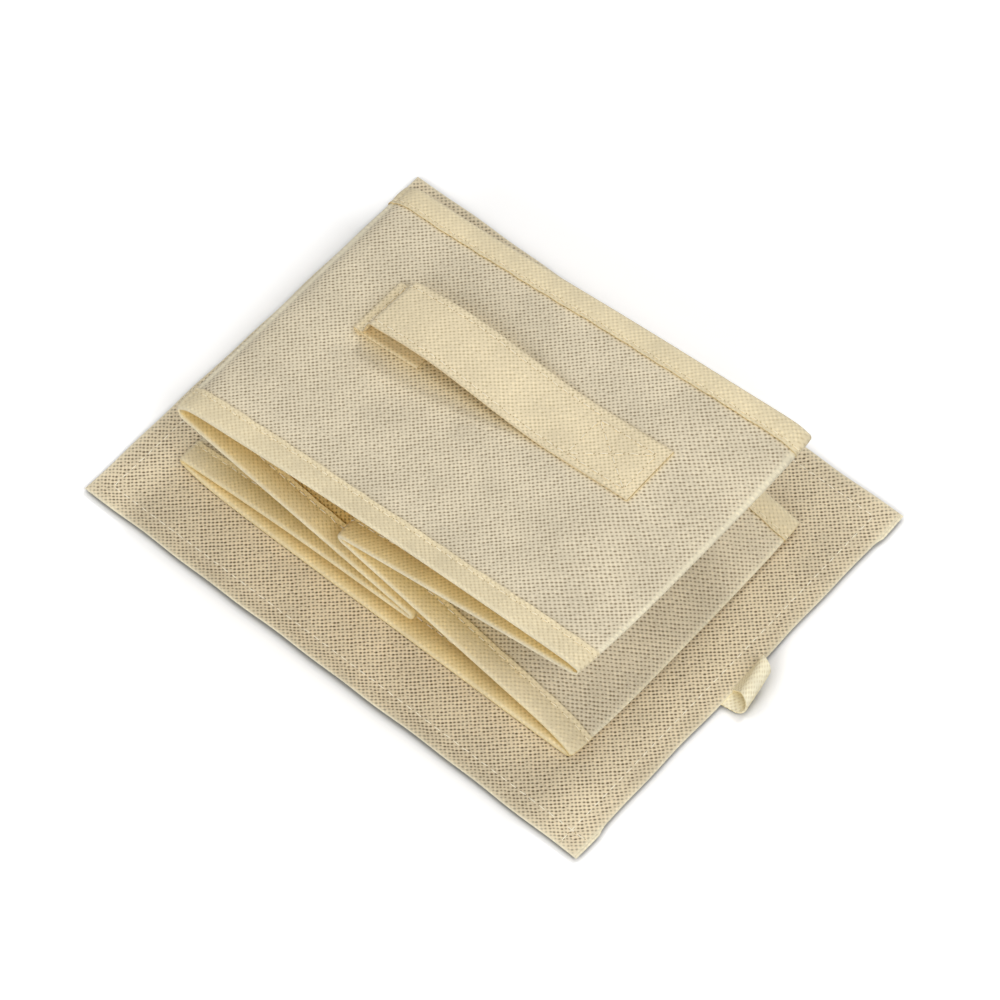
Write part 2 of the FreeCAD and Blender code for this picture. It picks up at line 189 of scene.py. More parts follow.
def make_emboss():
    """Bonding points of non-woven cloth: a square lattice turned about 45 degrees, one oval pit to a cell.

    Cloth is the place on the sheet in metres. The place wanders a little with a noise, is turned and divided
    by the pitch, and the distance from the pit's place in its cell, longer one way than the other, makes the
    pit. The fibres stand up in a crown round each corner of the lattice, between four pits, and the mottle
    paints each crown lighter as a highlight.
    """
    tree = bpy.data.node_groups.new("emboss", "ShaderNodeTree")
    tree.interface.new_socket("Cloth", in_out="INPUT", socket_type="NodeSocketVector")
    for socket in ("Pitch", "Wander", "Pit size"):
        tree.interface.new_socket(socket, in_out="INPUT", socket_type="NodeSocketFloat")
    for socket in ("Pits", "Height", "Mottle_and_highlight"):
        tree.interface.new_socket(socket, in_out="OUTPUT", socket_type="NodeSocketFloat")
    given = tree.nodes.new("NodeGroupInput").outputs
    result = tree.nodes.new("NodeGroupOutput")
    place = given["Cloth"]
    drift = add_node(tree, "TexNoise", {"Vector": place, "Scale": wander_scale, "Detail": 2})
    centred = add_vector(tree, "SUBTRACT", drift.outputs["Color"], (0.5, 0.5, 0.5))
    wandered = add_vector(tree, "MULTIPLY_ADD", centred, given["Wander"], place)
    turned = add_node(tree, "Mapping", {"Vector": wandered, "Rotation": (0, 0, lattice_turn)})
    cells = add_vector(tree, "DIVIDE", turned.outputs[0], given["Pitch"])

    cell = add_vector(tree, "FLOOR", cells)
    chance = add_node(tree, "TexWhiteNoise", {"Vector": cell}, noise_dimensions="2D").outputs
    play = (pit_play, pit_play, 0)
    middle = add_vector(tree, "MULTIPLY_ADD", chance["Color"], play, (pit_first, pit_first, 0))
    offset = add_vector(tree, "SUBTRACT", add_vector(tree, "FRACTION", cells), middle)
    distance = add_vector(tree, "LENGTH", add_vector(tree, "MULTIPLY", offset, (*pit_stretch, 0)))
    edge = add_math(tree, "MULTIPLY_ADD", chance["Value"], pit_size_play, given["Pit size"])
    core = add_math(tree, "MULTIPLY", edge, pit_core)
    depth = add_range(tree, chance["Value"], (0, 1), (pit_shallowest, 1))
    pit = add_range(tree, distance, (edge, core), (0, depth), interpolation_type="SMOOTHSTEP")

    fine = {"Vector": place, "Scale": fibre_scale, "Detail": 3, "Distortion": 1.5}
    fibre = add_node(tree, "TexNoise", fine).outputs["Fac"]
    slow = {"Vector": place, "Scale": smudge_scale, "Detail": 4}
    smudge = add_node(tree, "TexNoise", slow).outputs["Fac"]
    corner = add_vector(tree, "FLOOR", add_vector(tree, "ADD", cells, (0.5, 0.5, 0)))
    luck = add_node(tree, "TexWhiteNoise", {"Vector": corner}, noise_dimensions="2D").outputs["Value"]
    level = add_vector(tree, "MULTIPLY", add_vector(tree, "SUBTRACT", cells, corner), (1, 1, 0))
    away = add_vector(tree, "LENGTH", level)
    crown = add_range(tree, away, (crown_edge, crown_top), (0, luck), interpolation_type="SMOOTHSTEP")
    standing = add_math(tree, "MULTIPLY", fibre, fibre_height)
    raised = add_math(tree, "MULTIPLY_ADD", crown, crown_height, standing)
    blotch = add_math(tree, "MULTIPLY_ADD", fibre, fibre_shade, smudge)
    # The crowns add a painted highlight to the random mottle
    mottle_and_highlight = add_math(tree, "MULTIPLY_ADD", crown, crown_highlight, blotch)
    height = add_math(tree, "SUBTRACT", raised, pit)
    set_inputs(tree, result, {"Pits": pit, "Height": height, "Mottle_and_highlight": mottle_and_highlight})
    return tree


emboss = make_emboss()


def cloth_finish(name, ground, pits, pit_size, relief, painted_gap_shade=0):
    """Matt non-woven cloth: ground colour between the bonding pits, pit colour in them, and a blotchy tint.

    An attribute, 1 at an edge or fold and 0 away from it, rubs the pits out and pales the ground, partly as
    wear and partly as a painted highlight. The mottle's crowns are a painted highlight too. Given a share of
    gap shade, the colour is painted amber where other layers hide the cloth from the open, as ambient
    occlusion finds: painted shade, standing in for light that comes through the layers and bounces between
    them.
    """
    material, tree, shader = new_finish(name)
    place = add_node(tree, "UVMap", {}, uv_map="cloth").outputs["UV"]
    lattice = {"Cloth": place, "Pitch": lattice_pitch, "Wander": lattice_wander, "Pit size": pit_size}
    pattern = add_node(tree, "Group", lattice, node_tree=emboss).outputs
    worn = add_node(tree, "Attribute", {}, attribute_name="worn").outputs["Fac"]
    clear = add_range(tree, worn, (0, pits_gone), (1, 0))
    shown = add_math(tree, "MULTIPLY", pattern["Pits"], clear)
    colour = add_mix(tree, shown, (*ground, 1), (*pits, 1))
    colour = add_mix(tree, worn, colour, (*worn_cloth, 1))
    tint = add_range(tree, pattern["Mottle_and_highlight"], mottle_and_highlight_range, mottle_and_highlight_tints)
    colour = add_vector(tree, "MULTIPLY", colour, tint)
    # Painted shade: where ambient occlusion finds other layers close, the colour is tinted amber
    if painted_gap_shade:
        shelter = add_node(tree, "AmbientOcclusion", {"Distance": gap_reach}, samples=8)
        hidden = add_range(tree, shelter.outputs["AO"], (gap_open, gap_shut), (0, painted_gap_shade))
        gap_shade_colour = add_mix(tree, hidden, (1, 1, 1, 1), (*gap_shade_tint, 1))
        colour = add_vector(tree, "MULTIPLY", colour, gap_shade_colour)
    bump = add_node(tree, "Bump", {"Height": pattern["Height"], "Strength": 0.6, "Distance": relief})
    look = {
        "Base Color": colour,
        "Roughness": add_range(tree, pattern["Pits"], (0, 1), cloth_roughness),
        "Normal": bump.outputs[0],
        "Specular IOR Level": 0.25,
        "Sheen Weight": 0.12,
        "Sheen Roughness": 0.5,
    }
    set_inputs(tree, shader, look)
    return material


def add_piece(name, points, faces, cloth, material, **marks):
    """Make a mesh piece from points, faces and places on the cloth, with its faces turned outwards.

    The sign of the volume, summed over the faces' triangles, says whether the faces point in or out. Each
    mark is a value at every point that the finish reads, such as the mark of wear and painted highlight.
    """
    quads = np.array([face for face in faces if len(face) == 4])
    corners = points[quads]
    volume = 0
    for second, third in ((1, 2), (2, 3)):
        volume += np.einsum("ij,ij->", corners[:, 0], np.cross(corners[:, second], corners[:, third]))
    if volume < 0:
        faces = [face[::-1] for face in faces]
    mesh = bpy.data.meshes.new(name)
    mesh.from_pydata(points, [], faces)
    corner_points = np.zeros(len(mesh.loops), dtype=np.int32)
    mesh.loops.foreach_get("vertex_index", corner_points)
    layer = mesh.uv_layers.new(name="cloth")
    layer.data.foreach_set("uv", cloth[corner_points].astype(np.float32).ravel())
    for mark, values in marks.items():
        mesh.attributes.new(mark, "FLOAT", "POINT").data.foreach_set("value", values.astype(np.float32))
    mesh.shade_smooth()
    mesh.set_sharp_from_angle(angle=sharp_angle)
    mesh.materials.append(material)
    piece = bpy.data.objects.new(name, mesh)
    scene.collection.objects.link(piece)
    return piece


def add_ply(name, top, under, cloth, material, worn=0):
    """A closed sheet between two grids of points: both faces, and a strip of edge all the way round."""
    rows, columns = top.shape[:2]
    number = np.arange(rows * columns).reshape(rows, columns)
    quads = np.stack([number[:-1, :-1], number[:-1, 1:], number[1:, 1:], number[1:, :-1]], axis=-1)
    quads = quads.reshape(-1, 4)
    rim = np.concatenate([number[0, :-1], number[:-1, -1], number[-1, :0:-1], number[:0:-1, 0]])
    after = np.roll(rim, -1)
    count = rows * columns
    edge = np.stack([after, rim, rim + count, after + count], axis=-1)
    faces = np.concatenate([quads, quads[:, ::-1] + count, edge])
    points = np.concatenate([top.reshape(-1, 3), under.reshape(-1, 3)])
    places = np.tile(cloth.reshape(-1, 2), (2, 1))
    both_worn = np.tile(np.broadcast_to(worn, top.shape[:2]).ravel(), 2)
    return add_piece(name, points, faces.tolist(), places, material, worn=both_worn)


def smooth_wave(along, lengths, seed):
    """A gentle uneven wave between about -1 and 1: a sum of sines of the given lengths with fixed phases."""
    phases = np.random.default_rng(seed).uniform(0, 2 * np.pi, len(lengths))
    waves = [np.sin(2 * np.pi * along / length + phase) for length, phase in zip(lengths, phases)]
    return sum(waves) / len(lengths)


base_low, base_high = np.array(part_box("base_upper_cover"))
base_top = base_high[2]
base_middle = base_top / 2
base_ply = 0.5 * MM
base_step = 2.6 * MM
edge_roll = 1.2 * MM
roll_steps = 6
least_down = 0.05
seam_inset = 8.6 * MM
seam_valley = 0.5 * MM
valley_shift = 0.5 * MM
valley_width = 0.8 * MM
hem_drop = 0.25 * MM
hem_drop_width = 0.6 * MM
hem_lift = 0.7 * MM
hem_lift_start = 1.5 * MM
hem_lift_length = 5 * MM
hem_end_length = 18 * MM
hem_end_ease = 3 * MM
hem_end_reach = 1.2 * MM
hem_end_depth = 6 * MM
near_bow = 1.3 * MM
near_bow_length = 9 * MM
edge_drift = 0.45 * MM
edge_drift_depth = 14 * MM
edge_waves = (190 * MM, 83 * MM, 37 * MM)
edge_seeds = (3, 4)
# Over this width the edges are paled, as wear and as a painted highlight on the rolled edge
edge_wear_and_highlight = 0.7 * MM
base_ground = (0.74, 0.63, 0.44)
# The base's pits are darker than the walls': their own colour, and painted shade in the hollows
base_pits_and_shade = (0.12, 0.08, 0.032)
base_cloth = cloth_finish("base_cloth", base_ground, base_pits_and_shade, pit_size=0.35, relief=0.35 * MM)


def eased(share):
    """A level start and a level end: half a cosine."""
    return 0.5 - 0.5 * np.cos(np.pi * np.clip(share, 0, 1))


def unit(vectors):
    """Vectors of the same directions with a length of 1."""
    return vectors / np.linalg.norm(vectors, axis=-1, keepdims=True)


def base_lines(low, high):
    """Places of the grid's lines across the board, and how far round the edge's roll each of them is.

    The lines are even on the flat, and at even angles up to 90 degrees on the quarter circle at each edge.
    """
    flat = np.linspace(low + edge_roll, high - edge_roll, int((high - low) / base_step))
    roll = np.linspace(0, np.pi / 2, roll_steps + 1)[1:]
    before = low + edge_roll * (1 - np.sin(roll[::-1]))
    after = high - edge_roll * (1 - np.sin(roll))
    place = np.concatenate([before, flat, after])
    turn = np.concatenate([roll[::-1], np.zeros(len(flat)), roll])
    return place, turn


def near_rise(x, y):
    """How far the near edge is bowed up: half a cosine along it, dying away from it exponentially."""
    along = np.cos(np.pi * x / (base_high[0] - base_low[0]))
    return near_bow * along * np.exp((base_low[1] - y) / near_bow_length)


def base_cover(name, side):
    """One cover of the board: flat, drawn in along the seam, and rolled over the edge to the board's middle.

    Height over the middle plane is the half thickness, less a narrow valley along the seam, less a hem that
    lies a little lower, times the cosine of the roll at the edge. The hem has no board in it, so it is
    thinner and its middle lies higher, and the near edge is bowed up, most at its middle. Edges wander by a
    slow wave. The lower cover's hem shows past both ends of the right edge.
    """
    x, turn_x = base_lines(base_low[0], base_high[0])
    y, turn_y = base_lines(base_low[1], base_high[1])
    across_x, across_y = np.meshgrid(x, y, indexing="ij")
    inset_x = np.minimum(across_x - base_low[0], base_high[0] - across_x)
    inset_y = np.minimum(across_y - base_low[1], base_high[1] - across_y)
    inset = np.minimum(inset_x, inset_y)
    valley = seam_valley * np.exp(-(((inset - seam_inset + valley_shift) / valley_width) ** 2))
    hem = hem_drop / (1 + np.exp((inset - seam_inset) / hem_drop_width))
    bend = np.cos(turn_x)[:, None] * np.cos(turn_y)
    lift = hem_lift * eased((seam_inset - hem_lift_start - inset) / hem_lift_length)
    height = (base_middle - lift - valley - hem) * bend
    middle = base_middle + lift + near_rise(across_x, across_y)
    near_edge = np.exp(-inset / edge_drift_depth)
    drift_x = edge_drift * smooth_wave(across_y, edge_waves, edge_seeds[0]) * near_edge
    drift_y = edge_drift * smooth_wave(across_x, edge_waves, edge_seeds[1]) * near_edge
    if side < 0:
        hem_end = eased((hem_end_length - inset_y) / hem_end_ease)
        drift_x += hem_end_reach * hem_end * np.exp((across_x - base_high[0]) / hem_end_depth)
    out_x = np.sin(turn_x)[:, None] * np.sign(across_x)
    out_y = np.sin(turn_y) * np.sign(across_y)
    down = unit(np.stack([out_x, out_y, side * np.maximum(bend, least_down)], axis=-1))
    top = np.stack([across_x + drift_x, across_y + drift_y, middle + side * height], axis=-1)
    cloth = np.stack([across_x, across_y + side * height], axis=-1)
    # The edges are marked for wear and a painted highlight on the roll
    return add_ply(name, top, top - base_ply * down, cloth, base_cloth, np.exp(-inset / edge_wear_and_highlight))


base_upper = base_cover("base_upper_sheet", 1)
base_lower = base_cover("base_lower_sheet", -1)
for piece, nodes in ((base_upper, ("base_upper_cover", "base_hem")), (base_lower, ("base_lower_cover",))):
    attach(piece, "base")
    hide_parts(*nodes)

# Board inside the covers
# Grey-brown pressed card, which the covers hide. The walls have boards of the same card.
card_colour = (0.33, 0.28, 0.21)
card_tints = (0.8, 1.15)
card_grain = 900
card_relief = 0.1 * MM


def card_finish(name):
    """Pressed card: a speckle of two close tints, and a faint bump."""
    material, tree, shader = new_finish(name)
    place = add_node(tree, "TexCoord", {}).outputs["Object"]
    speckle = add_node(tree, "TexNoise", {"Vector": place, "Scale": card_grain, "Detail": 4}).outputs["Fac"]
    colour = add_vector(tree, "MULTIPLY", card_colour, add_range(tree, speckle, (0, 1), card_tints))
    bump = add_node(tree, "Bump", {"Height": speckle, "Strength": 0.3, "Distance": card_relief})
    set_inputs(tree, shader, {"Base Color": colour, "Normal": bump.outputs[0], "Roughness": 0.9})
    return material


card = card_finish("card")
for holder in frame["nodes"]["base_board"].material_slots:
    holder.material = card

# Base seam
# One row of long lockstitches, 8.6 mm in from the edge, closes the covers round the board. At the near right
# corner the rows cross and run on to the edges.
thread_colour = (0.93, 0.86, 0.69)
thread_tints = (0.82, 1.05)
thread_plies = 900
thread_relief = 0.05 * MM
# Needle holes are painted in this dark colour: painted shade in the hole
hole_shade_colour = (0.42, 0.32, 0.17)
hole_share = 0.65
hole_lift = 0.12 * MM
stitch_sides = 6
stitch_rings = 7
stitch_lengths = (0.9, 1.06)
stitch_skew = 0.07
stitch_rise = 1.1
stitch_sink = 0.75
stitch_taper = 0.35


def thread_finish(name, colour):
    """Twisted sewing thread: slanting light and dark plies along it, and needle holes at its ends painted
    dark as their shade.
    """
    material, tree, shader = new_finish(name)
    place = add_node(tree, "UVMap", {}, uv_map="cloth").outputs["UV"]
    wave = {"Vector": place, "Scale": thread_plies, "Distortion": 0.4}
    twist = add_node(tree, "TexWave", wave, bands_direction="DIAGONAL").outputs["Fac"]
    colour = add_vector(tree, "MULTIPLY", colour, add_range(tree, twist, (0, 1), thread_tints))
    hole = add_node(tree, "Attribute", {}, attribute_name="hole").outputs["Fac"]
    colour = add_mix(tree, hole, colour, (*hole_shade_colour, 1))
    bump = add_node(tree, "Bump", {"Height": twist, "Strength": 0.4, "Distance": thread_relief}).outputs[0]
    look = {"Base Color": colour, "Normal": bump, "Roughness": 0.55, "Sheen Weight": 0.1}
    set_inputs(tree, shader, look)
    return material


seam_thread = thread_finish("seam_thread", thread_colour)


def lengths_along(points):
    """How far each point of a line, or of each line in an array of lines, is from its first one along it."""
    steps = np.linalg.norm(np.diff(points, axis=-2), axis=-1)
    start = np.zeros((*steps.shape[:-1], 1))
    return np.concatenate([start, np.cumsum(steps, axis=-1)], axis=-1)


def add_tubes(name, rings, material, **marks):
    """Closed tubes from rings of points (tube, along, around, 3), with a flat cap on both ends of each."""
    tubes, along, around = rings.shape[:3]
    number = np.arange(tubes * along * around).reshape(tubes, along, around)
    beside = np.roll(number, -1, axis=2)
    quads = np.stack([number[:, :-1], beside[:, :-1], beside[:, 1:], number[:, 1:]], axis=-1).reshape(-1, 4)
    caps = np.concatenate([number[:, 0, ::-1], number[:, -1]])
    reach = lengths_along(rings.mean(axis=2))
    cloth = np.stack(np.broadcast_arrays(reach[:, :, None], lengths_along(rings)), axis=-1)
    faces = quads.tolist() + caps.tolist()
    return add_piece(name, rings.reshape(-1, 3), faces, cloth.reshape(-1, 2), material, **marks)


def add_stitches(name, rows, material):
    """Rows of stitches as one piece, with the first and last ring of each marked as needle holes."""
    rings = np.concatenate(rows)
    hole = np.zeros(rings.shape[:3])
    hole[:, [0, -1]] = 1
    return add_tubes(name, rings, material, hole=hole.ravel())


def stitch_rings_along(seam, up, pitch, length, thick, seed):
    """Rings of a row of stitches: each rises out of the cloth, lies along the seam and dives back in.

    Each stitch is a short tube. Its height over the cloth is 1 minus the fourth power of the way from its
    middle, its girth shrinks towards its ends, and its length and direction differ a little. A flat ring at
    each end, on the cloth, is the needle hole.
    """
    chance = np.random.default_rng(seed)
    reach = lengths_along(seam)
    count = max(1, int(reach[-1] / pitch))
    middle = (np.arange(count) + 0.5) * reach[-1] / count
    share = np.linspace(-1, 1, stitch_rings)
    half = 0.5 * length * chance.uniform(*stitch_lengths, count)
    at = middle[:, None] + half[:, None] * share
    core, normal = (
        np.stack([np.interp(at, reach, values[:, axis]) for axis in range(3)], axis=-1)
        for values in (seam, up)
    )
    normal = unit(normal)
    run = unit(np.gradient(core, axis=1))
    side = np.cross(normal, run)
    skew = chance.normal(0, stitch_skew, count)[:, None] * half[:, None] * share
    rise = thick * (stitch_rise * (1 - share**4) - stitch_sink)
    core = core + side * skew[..., None]
    girth = 0.5 * thick * (1 - stitch_taper * share**2)
    angle = np.linspace(0, 2 * np.pi, stitch_sides, endpoint=False)[:, None]
    around = np.cos(angle) * side[:, :, None] + np.sin(angle) * normal[:, :, None]
    tubes = (core + normal * rise[None, :, None])[:, :, None] + girth[None, :, None, None] * around
    # A flat ring at each end is the needle hole, painted dark as its shade by the thread's finish
    holes = []
    for end, heading in ((0, 1), (-1, -1)):
        flat = np.cos(angle) * side[:, end, None] + heading * np.sin(angle) * run[:, end, None]
        centre = core[:, end] + hole_lift * normal[:, end]
        holes.append(centre[:, None] + hole_share * thick * flat)
    return np.concatenate([holes[0][:, None], tubes, holes[1][:, None]], axis=1)


base_pitch = 5 * MM
base_stitch = 4.5 * MM
base_thread = 0.45 * MM
base_thread_stand = 0.15 * MM
seam_points = 60
seam_height = base_top - seam_valley + base_thread_stand
seam_low = base_low[:2] + seam_inset
seam_high = base_high[:2] - seam_inset
row_end = 1.5 * MM
run_on = seam_inset - row_end
base_rows = (
    ((seam_low[0], seam_low[1]), (seam_high[0] + run_on, seam_low[1])),
    ((seam_high[0], seam_low[1] - run_on), (seam_high[0], seam_high[1])),
    ((seam_high[0], seam_high[1]), (seam_low[0], seam_high[1])),
    ((seam_low[0], seam_high[1]), (seam_low[0], seam_low[1])),
)
base_thread_rings = []
for seed, (start, end) in enumerate(base_rows):
    for side in (1, -1):
        x, y = np.linspace(start, end, seam_points).T
        height = base_middle + side * (seam_height - base_middle) + near_rise(x, y)
        up = np.tile((0.0, 0.0, side), (seam_points, 1))
        seam = np.stack([x, y, height], axis=1)
        base_thread_rings.append(stitch_rings_along(seam, up, base_pitch, base_stitch, base_thread, seed))
base_stitches = add_stitches("base_stitches", base_thread_rings, seam_thread)
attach(base_stitches, "base")

# Pull loop
# A short strip of the same cloth, doubled into a loop and caught in the seam midway along the right edge.
# It is limp and doubled askew: its near end has sagged outwards and gapes, and its far end stands up.
loop_low, loop_high = np.array(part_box("base_pull_loop"))
loop_joint = next(joint for joint in frame["joints"] if joint["name"] == "loop_flop")
loop_strip = 0.8 * MM
loop_radius = 3.5 * MM
loop_opening = math.radians(24)
loop_tail = -1.5 * MM
loop_skew = 8 * MM
loop_columns = 24
loop_straight_steps = 8
loop_arc_steps = 40
loop_root_spread = 1.2
loop_width = loop_high[1] - loop_low[1] - loop_skew
loop_lean = (math.radians(25), math.radians(52))
# The loop's colours are a paler copy of the base cloth with faint pits: a painted highlight for the lit
# strip
loop_lit_ground = (0.93, 0.86, 0.64)
loop_lit_pits = (0.79, 0.68, 0.43)
loop_lit_cloth = cloth_finish("loop_lit_cloth", loop_lit_ground, loop_lit_pits, pit_size=0.3, relief=0.15 * MM, painted_gap_shade=0.5)


def cloth_places(along, across):
    """The place on a sheet of each point of its grid, from the places of its rows and of its columns."""
    return np.stack(np.broadcast_arrays(along[:, None], across), axis=-1)


def loop_sheet(level):
    """Points of the loop's strip at a level over its mid surface: a teardrop carried along the seam.

    In its own plane the teardrop is a straight from the root, an arc about a centre on the lean line, and a
    straight back to the root. The lean turns evenly from the near end to the far end, and the strip slides
    along the seam as it goes round.
    """
    radius = loop_radius + level
    reach = loop_radius / math.sin(loop_opening)
    touch = math.pi / 2 + loop_opening
    straight = np.linspace(0, 1, loop_straight_steps)
    angle = np.linspace(-touch, touch, loop_arc_steps)
    arc = np.stack([reach + radius * np.cos(angle), radius * np.sin(angle)], axis=1)
    spread = loop_root_spread * max(level, 0)
    inward = max(-level, 0) / math.sin(loop_opening)
    root_low = np.array([inward, -spread])
    root_high = np.array([inward, spread])
    out = root_low + straight[:-1, None] * (arc[0] - root_low)
    back = arc[-1] + straight[1:, None] * (root_high - arc[-1])
    flat = np.concatenate([out, arc, back])
    across = np.linspace(0, 1, loop_columns)
    lean = loop_lean[0] + (loop_lean[1] - loop_lean[0]) * across
    root_x, _, root_z = loop_joint["pos_m"]
    x = root_x + loop_tail + flat[:, :1] * np.cos(lean) - flat[:, 1:] * np.sin(lean)
    z = root_z + flat[:, :1] * np.sin(lean) + flat[:, 1:] * np.cos(lean)
    round_share = np.linspace(0, 1, len(flat))[:, None]
    y = loop_low[1] + across * loop_width + round_share * loop_skew
    return np.stack([x, y, z], axis=-1)


loop_outer = loop_sheet(loop_strip / 2)
loop_inner = loop_sheet(-loop_strip / 2)
loop_length = lengths_along(loop_outer[:, 0])
loop_places = cloth_places(loop_length, np.linspace(0, loop_width, loop_columns))
pull_loop = add_ply("pull_loop_strip", loop_outer, loop_inner, loop_places, loop_lit_cloth)
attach(pull_loop, "pull_loop")
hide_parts("base_pull_loop")

# Sleeve walls
# Four walls make the sleeve, and the two side walls are creased along their middles, so it folds flat. Each
# wall is a card board between a cover and a lining of non-woven cloth, which alone go round the folds.
# The front wall's board is bowed: folded, it springs up between its folds.
fold_radius = 1.6 * MM
# Folds are paled over this width and by this share, as wear and as a painted highlight where the cloth turns
fold_wear_and_highlight = 0.6 * MM
fold_worn = 0.55
wall_cloth = 0.5 * MM
wall_board = 1.0 * MM
wall_face = wall_board / 2 + wall_cloth
tape_thick = 0.4 * MM
rim_half = wall_face + tape_thick
board_margin = 3 * MM
near_hold = 0.6
far_hold = 0.4
turn_steps = 12
run_step = 0.9 * MM
across_steps = 44
near_rim, far_rim = np.array(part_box("front_rim_tapes"))[:, 1]
joint_places = {joint["name"]: joint["pos_m"] for joint in frame["joints"] if "pos_m" in joint}


def fold_axis(joint):
    """A fold's axis in the plane across the folds, x and z."""
    x, _, z = joint_places[joint]
    return np.array([x, z])


back_left = fold_axis("unfold")
left_nose = fold_axis("left_fold")
front_left = fold_axis("front_fold")
back_right = fold_axis("right_hinge")
right_nose = fold_axis("right_fold")
front_right = np.array(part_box("front_right_fold_tapes")[1])[[0, 2]] - (fold_radius + rim_half)


def towards(angle):
    """The direction at an angle up from level, in the plane across the folds."""
    return np.array([math.cos(angle), math.sin(angle)])


def panel(left, right, left_side, right_side):
    """A flat panel's middle line between two folds: its start, its end, the direction up from it, its slope.

    Each end is a fold radius above (1) or below (-1) its axis, so the line is a tangent of both circles.
    """
    chord = right - left
    cross = (left_side - right_side) * fold_radius
    length = math.sqrt(chord @ chord - cross**2)
    slope = math.atan2(chord[1], chord[0]) - math.atan2(cross, length)
    up = np.array([-math.sin(slope), math.cos(slope)])
    return left + left_side * fold_radius * up, right + right_side * fold_radius * up, up, slope


panels = {
    "back": panel(back_left, back_right, -1, -1),
    "left_lower": panel(back_left, left_nose, 1, -1),
    "left_upper": panel(front_left, left_nose, -1, 1),
    "front": panel(front_left, front_right, 1, 1),
    "right_lower": panel(right_nose, back_right, -1, 1),
    "right_upper": panel(right_nose, front_right, 1, -1),
}
slopes = {name: line[3] for name, line in panels.items()}


# How far a panel that isn't flat lies over its plane, in millimetres up, at even steps from left to right:
# along the near rim, along the far rim, and the near rim's own curl above that
bulge_steps = 5
bulges = {
    "front": ((6.8, 6.4, 4.3, 2.8, 1.2), (10.3, 6.6, 6.9, 6.4, 5.6), (0, 1.6, 3.9, 3.6, 2.4)),
    "left_lower": ((0, 1.4, 1.8, 1.0, 0), (0, 0, 0, 0, 0), (0, 0, 0, 0, 0)),
}
no_bulge = ((0,) * bulge_steps,) * 3
# How far a panel's cloth runs on past its right fold before it turns under
run_ons = {"front": 6.3 * MM, "right_lower": 4.9 * MM}
run_on_length = 45 * MM
# How far a panel's near rim has slid outwards at its left fold, along its middle and at its right fold
back_right_slide = -1.9 * MM
slides = {"back": (0, -2.3 * MM, back_right_slide), "right_lower": (0, 0, back_right_slide)}
shoulder_share = 0.45
shoulder_length = 4 * MM
curl_length = 7 * MM


bulge_curves = ("near", "far", "curl")


def bulge_at(name, end):
    """A panel's bulge where it meets its left fold (0) or its right fold (-1)."""
    return [(1 - shoulder_share) * values[end] for values in bulges[name]]


def turn(axis, first, last, side, before=(0, 0, 0), after=(0, 0, 0), run_on=(0, 0), heading=0, slide=0):
    """A fold's arc from one angle to another, with the wall's outer side out from the axis (1) or in (-1).

    before and after are the bulge at the arc's start and end, eased between. run_on is how far the cloth
    runs on at its start or end, along heading, and it falls with the square of the way to the other end.
    """
    share = np.linspace(0, 1, turn_steps + 1)
    angle = first + share * (last - first)
    radial = np.stack([np.cos(angle), np.sin(angle)], axis=1)
    bulge = [MM * (low + (high - low) * eased(share)) for low, high in zip(before, after)]
    return {
        "line": axis + fold_radius * radial,
        "out": side * radial,
        **dict(zip(bulge_curves, bulge)),
        "run_on": run_on[0] * (1 - share**2) + run_on[1] * (1 - (1 - share) ** 2),
        "heading": np.tile(towards(heading), (len(share), 1)),
        "slide": np.full(len(share), slide),
        "panel": np.full(len(share), -1),
    }


def run(name, outer, backwards):
    """A panel's straight between its folds, with its outer side up (1) or down (-1).

    Its bulge is the polynomial through the given values, drawn down towards both ends by a shoulder that
    dies away exponentially. Its slide goes from the middle's to each end's with the eighth power of the way.
    """
    start, end, up, slope = panels[name]
    length = np.linalg.norm(end - start)
    count = int(length / run_step)
    share = np.linspace(0, 1, count + 2)[1:-1]
    from_end = np.minimum(share, 1 - share) * length
    drawn = outer * MM * (1 - shoulder_share * np.exp(-from_end / shoulder_length))
    steps = np.linspace(0, 1, bulge_steps)
    left_slide, slide, right_slide = slides.get(name, (0, 0, 0))
    end_slide = np.where(share < 0.5, left_slide, right_slide)
    curves = [np.polyfit(steps, values, bulge_steps - 1) for values in bulges.get(name, no_bulge)]
    stretch = {
        "line": start + share[:, None] * (end - start),
        "out": np.tile(outer * up, (count, 1)),
        **{key: drawn * np.polyval(curve, share) for key, curve in zip(bulge_curves, curves)},
        "run_on": run_ons.get(name, 0) * eased(1 - (1 - share) * length / run_on_length),
        "heading": np.tile(towards(slope), (count, 1)),
        "slide": slide + (end_slide - slide) * (2 * share - 1) ** 8,
        "panel": np.full(count, list(panels).index(name)),
    }
    return {key: value[::-1] for key, value in stretch.items()} if backwards else stretch


def parted(stretch, length):
    """A stretch in two pieces: its first part, about so long, and the rest of it from the same place on."""
    count = int(length / run_step)
    first = {key: values[:count] for key, values in stretch.items()}
    rest = {key: values[count - 1 :] for key, values in stretch.items()}
    return first, rest


def joined(*stretches, start=0):
    """One wall's middle line from its stretches, with the length along it, counted on from start."""
    wall = {key: np.concatenate([stretch[key] for stretch in stretches]) for key in stretches[0]}
    wall["along"] = start + lengths_along(wall["line"])
    return wall


